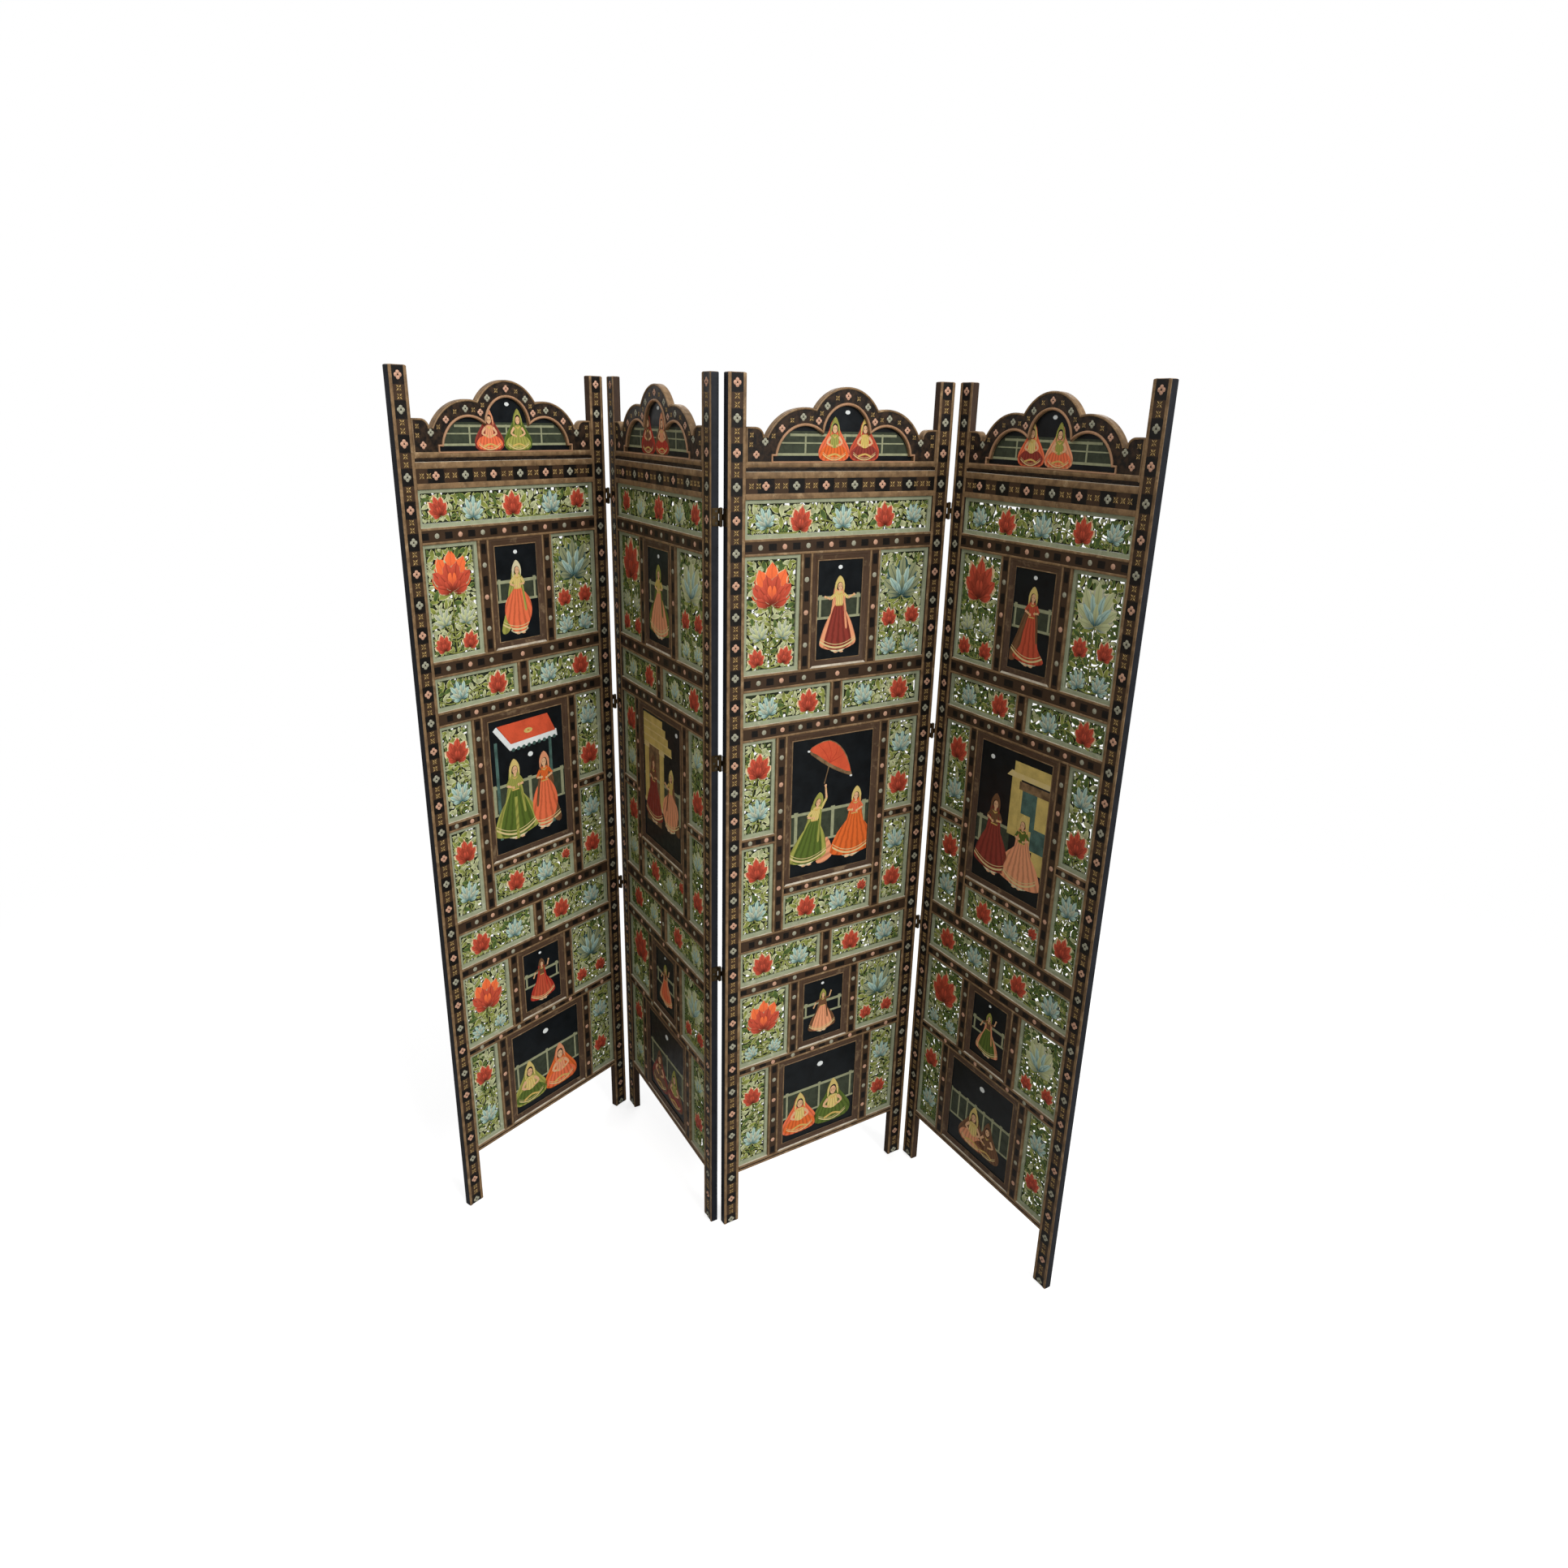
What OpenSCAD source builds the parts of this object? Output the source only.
// Four-panel folding screen of pierced and painted wood, standing in a zigzag.
// Each panel is a grooved frame: two stiles with feet, rails and muntins with stub tenons,
// pierced jali inserts, picture boards with mitred mouldings, and a lobed crest on top.
// In a panel's own frame X runs across the panel, Y from its front face to its back, Z up.
// The screen's origin is on the floor, at the centre of the box around its feet.

/* [Panel] */
// Width of one panel
panel_w = 510; // [480:1:600]
// Thickness of stiles, rails and muntins
frame_t = 16; // [14:0.5:22]
// Width of a stile
stile_w = 37; // [30:0.5:48]
// Height of the legs under the bottom rail
leg_h = 134; // [60:1:200]
// Height of a stile above the crest
horn_h = 17; // [5:1:60]
// Chamfer round the tops and feet of the stiles
stile_chamfer = 2; // [0.5:0.5:4]

/* [Rails from the floor up] */
// Bottom rail
bottom_rail_h = 14; // [12:1:40]
// Rail over the lowest pictures
low_rail_h = 19; // [14:1:40]
// Rail over the small pictures
small_rail_h = 25; // [14:1:40]
// Rail over the lower pair of jalis
lower_pair_rail_h = 33; // [14:1:50]
// Rail over the main pictures
main_rail_h = 31; // [14:1:50]
// Rail over the upper pair of jalis
upper_pair_rail_h = 33; // [14:1:50]
// Rail over the upper pictures
upper_rail_h = 31; // [14:1:50]
// Top rail
top_rail_h = 53; // [30:1:80]

/* [Rows from the floor up] */
// Lowest row, a wide picture between two jalis
low_row_h = 242; // [160:1:320]
// Row with a small picture between two jalis
small_row_h = 178; // [120:1:240]
// Lower row of two jalis
lower_pair_row_h = 81; // [60:1:140]
// Main row, the tallest
main_row_h = 432; // [360:1:520]
// Upper row of two jalis
upper_pair_row_h = 69; // [60:1:140]
// Upper row, a small picture between two jalis
upper_row_h = 224; // [140:1:300]
// Row of one wide jali under the top rail
top_row_h = 70; // [60:1:140]

/* [Columns] */
// Width of the wide picture cells
wide_cell_w = 230; // [180:1:260]
// Width of the small picture cells
small_cell_w = 135; // [110:1:190]
// Width of the muntins beside the pictures
muntin_w = 26; // [14:1:40]
// Width of the muntin between a pair of jalis
middle_muntin_w = 28; // [14:1:40]
// Height of the lower side jalis of the main row
side_jali_h = 206; // [120:1:260]
// Height of the bar between the side jalis of the main row
side_bar_h = 21; // [12:1:40]
// Height of the jali under the main picture
sill_jali_h = 79; // [50:1:120]
// Height of the sill bar under the main picture
sill_bar_h = 22; // [12:1:40]

/* [Inserts] */
// Thickness of jalis and picture boards
insert_t = 6; // [4:0.5:8]
// Depth of the grooves that hold them
groove_d = 4; // [2:0.5:5]
// Clearance in grooves and rebates
groove_fit = 0.2; // [0.1:0.05:0.4]
// Width of the solid border round a pierced field
jali_border = 9; // [5:0.5:16]
// Aimed spacing of the round holes
jali_pitch = 25; // [18:0.5:40]
// Radius of the round holes
jali_hole_r = 8; // [3:0.5:8.5]
// Least wood between a round hole and a diamond hole
jali_web = 3; // [2:0.5:5]
// Width of the picture mouldings
moulding_w = 16; // [8:1:24]
// How far the mouldings lie behind the frame's face
moulding_back = 0.5; // [0.2:0.1:2]

/* [Crest] */
// Height of the crest above the top rail
crest_h = 144; // [130:1:200]
// Thickness of the crest
crest_t = 12; // [9:0.5:14]
// Radius of the centre lobe
centre_lobe_r = 84; // [60:1:100]
// Radius of the side lobes
side_lobe_r = 93; // [70:1:95]
// Distance of the side lobes' centres from the middle
side_lobe_x = 92; // [70:1:95]
// Height of the side lobes' centres above the top rail
side_lobe_z = 14; // [8:1:24]
// Height of the shoulders above the top rail
shoulder_h = 72; // [50:1:90]
// Width of the flat part of the shoulders beside the stiles
shoulder_flat = 20; // [8:1:24]
// Radius of the shoulders' rounded ends
shoulder_r = 18; // [10:1:24]
// Width of the carved band round the crest's opening
crest_band_w = 32; // [20:1:40]
// Height of the wood under the crest's opening
crest_sill_h = 14; // [8:1:24]
// Height and run-out of the small feet of the crest's opening
crest_cusp = 8; // [4:1:16]
// Width of the rebate that holds the crest's picture
crest_rebate = 5; // [3:0.5:7]

/* [Fold] */
// Turn between the first and second panels
fold_12 = 113.7; // [60:0.1:140]
// Turn between the second and third panels
fold_23 = 92.7; // [60:0.1:140]
// Turn between the third and fourth panels
fold_34 = 91.7; // [60:0.1:140]
// Gap between two panels' edges when they stand in line
edge_gap = 8; // [7.5:0.1:12]
// Distance of the hinge pins outside the panels' faces
pin_out = 2.5; // [1:0.1:5]

/* [Hinges] */
// Height of the lowest hinge's middle
first_hinge_z = 652; // [400:1:700]
// Spacing of the hinges up the stiles
hinge_pitch = 467; // [400:1:480]
// Height of a hinge
hinge_h = 32; // [24:1:60]
// Outer radius of the knuckles
knuckle_r = 3.4; // [2.6:0.1:3.6]
// Radius of the hinge pins
pin_r = 1.5; // [1:0.1:1.8]
// Radial clearance of a pin in its knuckles
pin_fit = 0.05; // [0.02:0.01:0.1]
// Gap between neighbouring knuckles
knuckle_gap = 0.3; // [0.2:0.1:0.6]
// Thickness of a hinge leaf
leaf_t = 1.6; // [1:0.1:2]
// Wood left between a leaf and the stile's far face
leaf_margin = 2; // [1:0.5:4]
// Height of the heads at both ends of a pin
pin_head_h = 1.2; // [0.8:0.1:3]
// Radius of the screws
screw_r = 1.2; // [0.8:0.1:1.6]
// Length of the screws
screw_len = 14; // [8:1:20]
// Clearance round the screws
screw_fit = 0.1; // [0.05:0.05:0.2]

/* [Hidden] */
$fn = 64;
PANELS = 4;
PANEL_PIECES = [
  "stile_left", "stile_right", "top_rail", "cross_rails", "bottom_rail", "muntins",
  "jalis", "picture_boards", "picture_mouldings", "crest", "crest_board"
];
HINGE_PIECES = ["leaves_left", "leaves_right", "pins", "screws_left", "screws_right"];

wood = [0.42, 0.32, 0.22];
dark_wood = [0.27, 0.19, 0.13];
pale_green = [0.60, 0.70, 0.56];
night_blue = [0.10, 0.13, 0.16];
peach = [0.72, 0.56, 0.44];
brass = [0.72, 0.58, 0.30];
steel = [0.70, 0.70, 0.72];

cut = 1; // how far a cutting shape runs past the wood

// Rows and rails from the floor up, each as [z, height] and standing on the one before
function over(below, h) = [below[0] + below[1], h];
bottom_rail_at = [leg_h, bottom_rail_h];
low_row = over(bottom_rail_at, low_row_h);
low_rail = over(low_row, low_rail_h);
small_row = over(low_rail, small_row_h);
small_rail = over(small_row, small_rail_h);
lower_pair_row = over(small_rail, lower_pair_row_h);
lower_pair_rail = over(lower_pair_row, lower_pair_rail_h);
main_row = over(lower_pair_rail, main_row_h);
main_rail = over(main_row, main_rail_h);
upper_pair_row = over(main_rail, upper_pair_row_h);
upper_pair_rail = over(upper_pair_row, upper_pair_rail_h);
upper_row = over(upper_pair_rail, upper_row_h);
upper_rail = over(upper_row, upper_rail_h);
top_row = over(upper_rail, top_row_h);
top_rail_at = over(top_row, top_rail_h);
thin_rails = [low_rail, small_rail, lower_pair_rail, main_rail, upper_pair_rail, upper_rail];

crest_z = top_rail_at[0] + top_rail_h;
panel_h = crest_z + crest_h + horn_h;
clear_w = panel_w - 2 * stile_w;
right_x = panel_w - stile_w;

// Depths, from the front face of a panel
insert_y = (frame_t - insert_t) / 2;
crest_y = (frame_t - crest_t) / 2;
groove_w = insert_t + 2 * groove_fit;
groove_y = (frame_t - groove_w) / 2;
tongue = groove_d - groove_fit;
mitre_gap = groove_fit / 2;

// A cell is [x, z, width, height] of an opening in a panel.
function start_x(w) = (panel_w - w) / 2;
function end_x(w) = (panel_w + w) / 2;
function side_w(picture_w) = (clear_w - picture_w) / 2 - muntin_w;
function side_x(side, w) = side == 0 ? stile_w : right_x - w;
function side_cell(row, side, w) = [side_x(side, w), row[0], w, row[1]];
function middle_cell(row, w) = [start_x(w), row[0], w, row[1]];

pair_w = (clear_w - middle_muntin_w) / 2;
main_side_w = side_w(wide_cell_w);
side_bar_z = main_row[0] + side_jali_h;
upper_side_z = side_bar_z + side_bar_h;
upper_side_h = main_row_h - side_jali_h - side_bar_h;
sill_bar_z = main_row[0] + sill_jali_h;
main_picture_z = sill_bar_z + sill_bar_h;
main_picture_h = main_row_h - sill_jali_h - sill_bar_h;

jali_cells = [
  for (side = [0, 1]) each [
    side_cell(low_row, side, side_w(wide_cell_w)),
    side_cell(small_row, side, side_w(small_cell_w)),
    side_cell(lower_pair_row, side, pair_w),
    [side_x(side, main_side_w), main_row[0], main_side_w, side_jali_h],
    [side_x(side, main_side_w), upper_side_z, main_side_w, upper_side_h],
    side_cell(upper_pair_row, side, pair_w),
    side_cell(upper_row, side, side_w(small_cell_w))
  ],
  [start_x(wide_cell_w), main_row[0], wide_cell_w, sill_jali_h],
  middle_cell(top_row, clear_w)
];
picture_cells = [
  middle_cell(low_row, wide_cell_w),
  middle_cell(small_row, small_cell_w),
  [start_x(wide_cell_w), main_picture_z, wide_cell_w, main_picture_h],
  middle_cell(upper_row, small_cell_w)
];

// An upright is [x, z, width, length] and a crossbar [x, z, length, width].
function beside(picture_w) = [start_x(picture_w) - muntin_w, end_x(picture_w)];
uprights = [
  for (row = [low_row, main_row]) for (x = beside(wide_cell_w)) [x, row[0], muntin_w, row[1]],
  for (row = [small_row, upper_row]) for (x = beside(small_cell_w)) [x, row[0], muntin_w, row[1]],
  for (row = [lower_pair_row, upper_pair_row])
    [start_x(middle_muntin_w), row[0], middle_muntin_w, row[1]]
];
crossbars = [
  for (side = [0, 1])
    [side_x(side, main_side_w), side_bar_z, main_side_w, side_bar_h],
  [start_x(wide_cell_w), sill_bar_z, wide_cell_w, sill_bar_h]
];

// Crest, measured from the middle of its foot
centre_lobe_z = crest_h - centre_lobe_r;
notch_h = shoulder_h - shoulder_r;
opening_half_w = side_lobe_x + side_lobe_r - crest_band_w + crest_cusp;
picture_front_y = crest_y + crest_t - insert_t;

// Hinge leaves, measured from the pin's axis toward the panel's far face
leaf_start = knuckle_r + knuckle_gap;
leaf_end = pin_out + frame_t - leaf_margin;
knuckle_len = (hinge_h - 2 * knuckle_gap) / 3;
knuckle_step = knuckle_len + knuckle_gap;
pin_head_r = (pin_r + knuckle_r) / 2;
screw_head_h = 0.75 * leaf_t;
screw_spots = [[-1, -1], [0, 1], [1, -1]]; // steps up the leaf, and side of its middle line
screw_pitch = hinge_h / len(screw_spots);
screw_stagger = (leaf_end - leaf_start) / 6;
hinge_zs = [for (i = [0 : 2]) first_hinge_z + i * hinge_pitch];

// Plan of the zigzag. Headings are degrees from X, and the raw plan has panel 3 at 0.
function along(a) = [cos(a), sin(a)];
function inward(a) = [-sin(a), cos(a)];
reach = panel_w + edge_gap / 2;
back_pin = frame_t + pin_out;
raw_headings = [fold_12 - fold_23, -fold_23, 0, -fold_34];
raw_pin_2 = inward(0) * back_pin - along(0) * edge_gap / 2;
raw_panel_2 = raw_pin_2 - along(raw_headings[1]) * reach - inward(raw_headings[1]) * back_pin;
raw_pin_1 = raw_panel_2 - along(raw_headings[1]) * edge_gap / 2 - inward(raw_headings[1]) * pin_out;
raw_panel_1 = raw_pin_1 - along(raw_headings[0]) * reach + inward(raw_headings[0]) * pin_out;
raw_pin_3 = along(0) * reach - inward(0) * pin_out;
raw_panel_4 = raw_pin_3 + along(raw_headings[3]) * edge_gap / 2 + inward(raw_headings[3]) * pin_out;
raw_places = [raw_panel_1, raw_panel_2, [0, 0], raw_panel_4];
raw_span = raw_panel_4 + along(raw_headings[3]) * panel_w - raw_panel_1;

// The plan is turned so that the outermost feet line up along X, then centred.
spin = -atan2(raw_span.y, raw_span.x);
function spun(p) = [p.x * cos(spin) - p.y * sin(spin), p.x * sin(spin) + p.y * cos(spin)];
headings = [for (a = raw_headings) a + spin];
spun_places = [for (p = raw_places) spun(p)];
corners = [
  for (k = [0 : PANELS - 1]) for (x = [0, panel_w]) for (y = [0, frame_t])
    spun_places[k] + along(headings[k]) * x + inward(headings[k]) * y
];
function middle_of(values) = (min(values) + max(values)) / 2;
centre = [middle_of([for (c = corners) c.x]), middle_of([for (c = corners) c.y])];
places = [for (p = spun_places) p - centre];

function pin_in_front(j) = j != 2;
function is_joint(j) = j >= 1 && j < PANELS;

module on_panel(k) {
  translate([places[k - 1].x, places[k - 1].y, 0])
    rotate([0, 0, headings[k - 1]])
      children();
}

// Stands a 2D outline up in a panel, with its front at depth y.
module standing(y, t) {
  translate([0, y + t, 0])
    rotate([90, 0, 0])
      linear_extrude(t)
        children();
}

module mirrored_across(w) {
  translate([w, 0, 0])
    mirror([1, 0, 0])
      children();
}

module turned_back_to_front() {
  translate([0, frame_t, 0])
    mirror([0, 1, 0])
      children();
}

// A bar along X with grooves in its two edges and a stub tenon at each end
module grooved_bar(length, width, lower_groove = true) {
  groove_zs = lower_groove ? [-cut, width - groove_d] : [width - groove_d];
  difference() {
    cube([length, frame_t, width]);
    for (z = groove_zs)
      translate([-cut, groove_y, z])
        cube([length + 2 * cut, groove_w, groove_d + cut]);
  }
  for (x = [-tongue, length - cut])
    translate([x, insert_y, groove_d])
      cube([tongue + cut, insert_t, width - 2 * groove_d]);
}

module upright_bar(width, length) {
  translate([width, 0, 0])
    rotate([0, -90, 0])
      grooved_bar(length, width);
}

// Places children at the hinge screws of a left-hand edge, pointing into the wood.
module at_screws(in_front) {
  for (z = hinge_zs)
    for (spot = screw_spots) {
      depth = (leaf_start + leaf_end) / 2 + spot.y * screw_stagger - pin_out;
      translate([0, in_front ? depth : frame_t - depth, z + spot.x * screw_pitch])
        rotate([0, 90, 0])
          children();
    }
}

// A stile with its outer edge at x = 0; joint is the one that its outer edge is hinged at
module stile(joint) {
  c = stile_chamfer;
  color(wood)
    difference() {
      standing(0, frame_t)
        polygon([
          [c, 0], [stile_w - c, 0], [stile_w, c], [stile_w, panel_h - c],
          [stile_w - c, panel_h], [c, panel_h], [0, panel_h - c], [0, c]
        ]);
      translate([stile_w - groove_d, groove_y, leg_h + groove_d])
        cube([groove_d + cut, groove_w, crest_z + notch_h + groove_fit - leg_h - groove_d]);
      if (is_joint(joint))
        at_screws(pin_in_front(joint))
          translate([0, 0, -cut])
            cylinder(r = screw_r + screw_fit, h = screw_len - leaf_t + 2 * cut);
    }
}

module top_rail() {
  color(wood)
    translate([stile_w, 0, top_rail_at[0]])
      grooved_bar(clear_w, top_rail_h);
}

// The rails between the stiles, and the short bars of the main row
module cross_rails() {
  color(wood) {
    for (rail = thin_rails)
      translate([stile_w, 0, rail[0]])
        grooved_bar(clear_w, rail[1]);
    for (bar = crossbars)
      translate([bar[0], 0, bar[1]])
        grooved_bar(bar[2], bar[3]);
  }
}

module bottom_rail() {
  color(wood)
    translate([stile_w, 0, leg_h])
      grooved_bar(clear_w, bottom_rail_h, lower_groove = false);
}

module muntins() {
  color(dark_wood)
    for (bar = uprights)
      translate([bar[0], 0, bar[1]])
        upright_bar(bar[2], bar[3]);
}

// Outline of an insert whose edges reach into the grooves round a cell
module insert_outline(w, h) {
  translate([-tongue, -tongue])
    square([w + 2 * tongue, h + 2 * tongue]);
}

// Round holes in rows, with a diamond hole between each four
module pierced_field(w, h) {
  columns = floor((w - 2 * jali_border) / jali_pitch);
  rows = floor((h - 2 * jali_border) / jali_pitch);
  step_x = (w - 2 * jali_border) / columns;
  step_z = (h - 2 * jali_border) / rows;
  diamond_r = norm([step_x, step_z]) / 2 - jali_hole_r - jali_web;
  for (i = [0 : columns - 1])
    for (j = [0 : rows - 1])
      translate([jali_border + (i + 0.5) * step_x, jali_border + (j + 0.5) * step_z])
        circle(r = jali_hole_r);
  for (i = [1 : 1 : columns - 1])
    for (j = [1 : 1 : rows - 1])
      translate([jali_border + i * step_x, jali_border + j * step_z])
        circle(r = diamond_r, $fn = 4);
}

module jalis() {
  color(pale_green)
    for (cell = jali_cells)
      translate([cell[0], 0, cell[1]])
        standing(insert_y, insert_t)
          difference() {
            insert_outline(cell[2], cell[3]);
            pierced_field(cell[2], cell[3]);
          }
}

module picture_boards() {
  color(night_blue)
    for (cell = picture_cells)
      translate([cell[0], 0, cell[1]])
        standing(insert_y, insert_t)
          insert_outline(cell[2], cell[3]);
}

// One mitred strip of a moulding, along the lower edge of a cell
module mitred_strip(length) {
  inner = moulding_w + mitre_gap;
  standing(moulding_back, insert_y - moulding_back)
    polygon([
      [mitre_gap, 0], [length - mitre_gap, 0], [length - inner, moulding_w], [inner, moulding_w]
    ]);
}

module picture_mouldings() {
  color(peach)
    for (cell = picture_cells) {
      w = cell[2] - 2 * groove_fit;
      h = cell[3] - 2 * groove_fit;
      translate([cell[0] + groove_fit, 0, cell[1] + groove_fit]) {
        mitred_strip(w);
        translate([0, 0, h])
          mirror([0, 0, 1])
            mitred_strip(w);
        mirrored_across(0)
          rotate([0, -90, 0])
            mitred_strip(h);
        translate([w, 0, 0])
          rotate([0, -90, 0])
            mitred_strip(h);
      }
    }
}

// The three large lobes, grown outward by grow
module lobes(grow) {
  translate([0, centre_lobe_z])
    circle(r = centre_lobe_r + grow);
  for (side = [-1, 1])
    translate([side * side_lobe_x, side_lobe_z])
      circle(r = side_lobe_r + grow);
}

module crest_outline() {
  intersection() {
    translate([-clear_w / 2, 0])
      square([clear_w, crest_h + cut]);
    union() {
      lobes(0);
      translate([-clear_w / 2, 0])
        square([clear_w, notch_h]);
      for (side = [0, 1])
        mirror([side, 0]) {
          translate([-clear_w / 2, 0])
            square([shoulder_flat, shoulder_h]);
          translate([shoulder_flat - clear_w / 2, notch_h])
            circle(r = shoulder_r);
        }
    }
  }
}

// The crest's opening, grown outward by grow
module crest_opening(grow) {
  floor_z = crest_sill_h - grow;
  intersection() {
    translate([-clear_w / 2, floor_z])
      square([clear_w, crest_h]);
    union() {
      lobes(grow - crest_band_w);
      translate([-opening_half_w - grow, floor_z])
        square([2 * (opening_half_w + grow), crest_cusp + 2 * grow]);
    }
  }
}

module at_crest() {
  translate([panel_w / 2, 0, crest_z])
    children();
}

module crest() {
  color(wood)
    at_crest() {
      difference() {
        standing(crest_y, crest_t)
          crest_outline();
        standing(crest_y - cut, crest_t + 2 * cut)
          crest_opening(0);
        standing(picture_front_y, insert_t + cut)
          crest_opening(crest_rebate);
      }
      translate([-clear_w / 2, insert_y, -tongue])
        cube([clear_w, insert_t, tongue + cut]);
      for (x = [-clear_w / 2 - tongue, clear_w / 2 - cut])
        translate([x, insert_y, 0])
          cube([tongue + cut, insert_t, notch_h]);
    }
}

module crest_board() {
  color(night_blue)
    at_crest()
      standing(picture_front_y, insert_t)
        crest_opening(crest_rebate - groove_fit);
}

// A hinge leaf on a left-hand edge, for a pin in front of the panel.
// Its knuckles lie at the given steps from the hinge's middle.
module front_leaf(knuckle_steps) {
  difference() {
    union() {
      translate([-leaf_t, leaf_start - pin_out, -hinge_h / 2])
        cube([leaf_t, leaf_end - leaf_start, hinge_h]);
      for (step = knuckle_steps)
        translate([0, -pin_out, step * knuckle_step - knuckle_len / 2]) {
          translate([-leaf_t, 0, 0])
            cube([leaf_t, leaf_start + cut, knuckle_len]);
          translate([-edge_gap / 2, 0, 0])
            cube([edge_gap / 2, leaf_t, knuckle_len]);
          translate([-edge_gap / 2, 0, 0])
            cylinder(r = knuckle_r, h = knuckle_len);
        }
    }
    translate([-edge_gap / 2, -pin_out, -hinge_h / 2 - cut])
      cylinder(r = pin_r + pin_fit, h = hinge_h + 2 * cut);
  }
}

module leaves(in_front, knuckle_steps) {
  color(brass)
    difference() {
      for (z = hinge_zs)
        translate([0, 0, z])
          if (in_front)
            front_leaf(knuckle_steps);
          else
            turned_back_to_front()
              front_leaf(knuckle_steps);
      at_screws(in_front)
        translate([0, 0, -leaf_t])
          screw(screw_fit, leaf_t + cut);
    }
}

// A countersunk screw with its head at z = 0, grown outward by grow
module screw(grow, length) {
  cylinder(r1 = 2 * screw_r + grow, r2 = screw_r + grow, h = screw_head_h);
  cylinder(r = screw_r + grow, h = length);
}

module screws(in_front) {
  color(steel)
    at_screws(in_front)
      translate([0, 0, -leaf_t])
        screw(0, screw_len);
}

module pins(in_front) {
  color(steel)
    for (z = hinge_zs)
      translate([-edge_gap / 2, in_front ? -pin_out : back_pin, z]) {
        cylinder(r = pin_r, h = hinge_h, center = true);
        for (side = [0, 1])
          mirror([0, 0, side])
            translate([0, 0, hinge_h / 2])
              cylinder(r = pin_head_r, h = pin_head_h);
      }
}

// The left-hand panel of joint j carries the outer knuckles and the pins.
module on_left_panel(j) {
  on_panel(j)
    mirrored_across(panel_w)
      children();
}

for (k = [1 : PANELS]) {
  on_panel(k) stile(k - 1);
  on_panel(k) mirrored_across(panel_w) stile(k);
  on_panel(k) top_rail();
  on_panel(k) cross_rails();
  on_panel(k) bottom_rail();
  on_panel(k) muntins();
  on_panel(k) jalis();
  on_panel(k) picture_boards();
  on_panel(k) picture_mouldings();
  on_panel(k) crest();
  on_panel(k) crest_board();
}
for (j = [1 : PANELS - 1]) {
  on_left_panel(j) leaves(pin_in_front(j), [-1, 1]);
  on_panel(j + 1) leaves(pin_in_front(j), [0]);
  on_left_panel(j) pins(pin_in_front(j));
  on_left_panel(j) screws(pin_in_front(j));
  on_panel(j + 1) screws(pin_in_front(j));
}
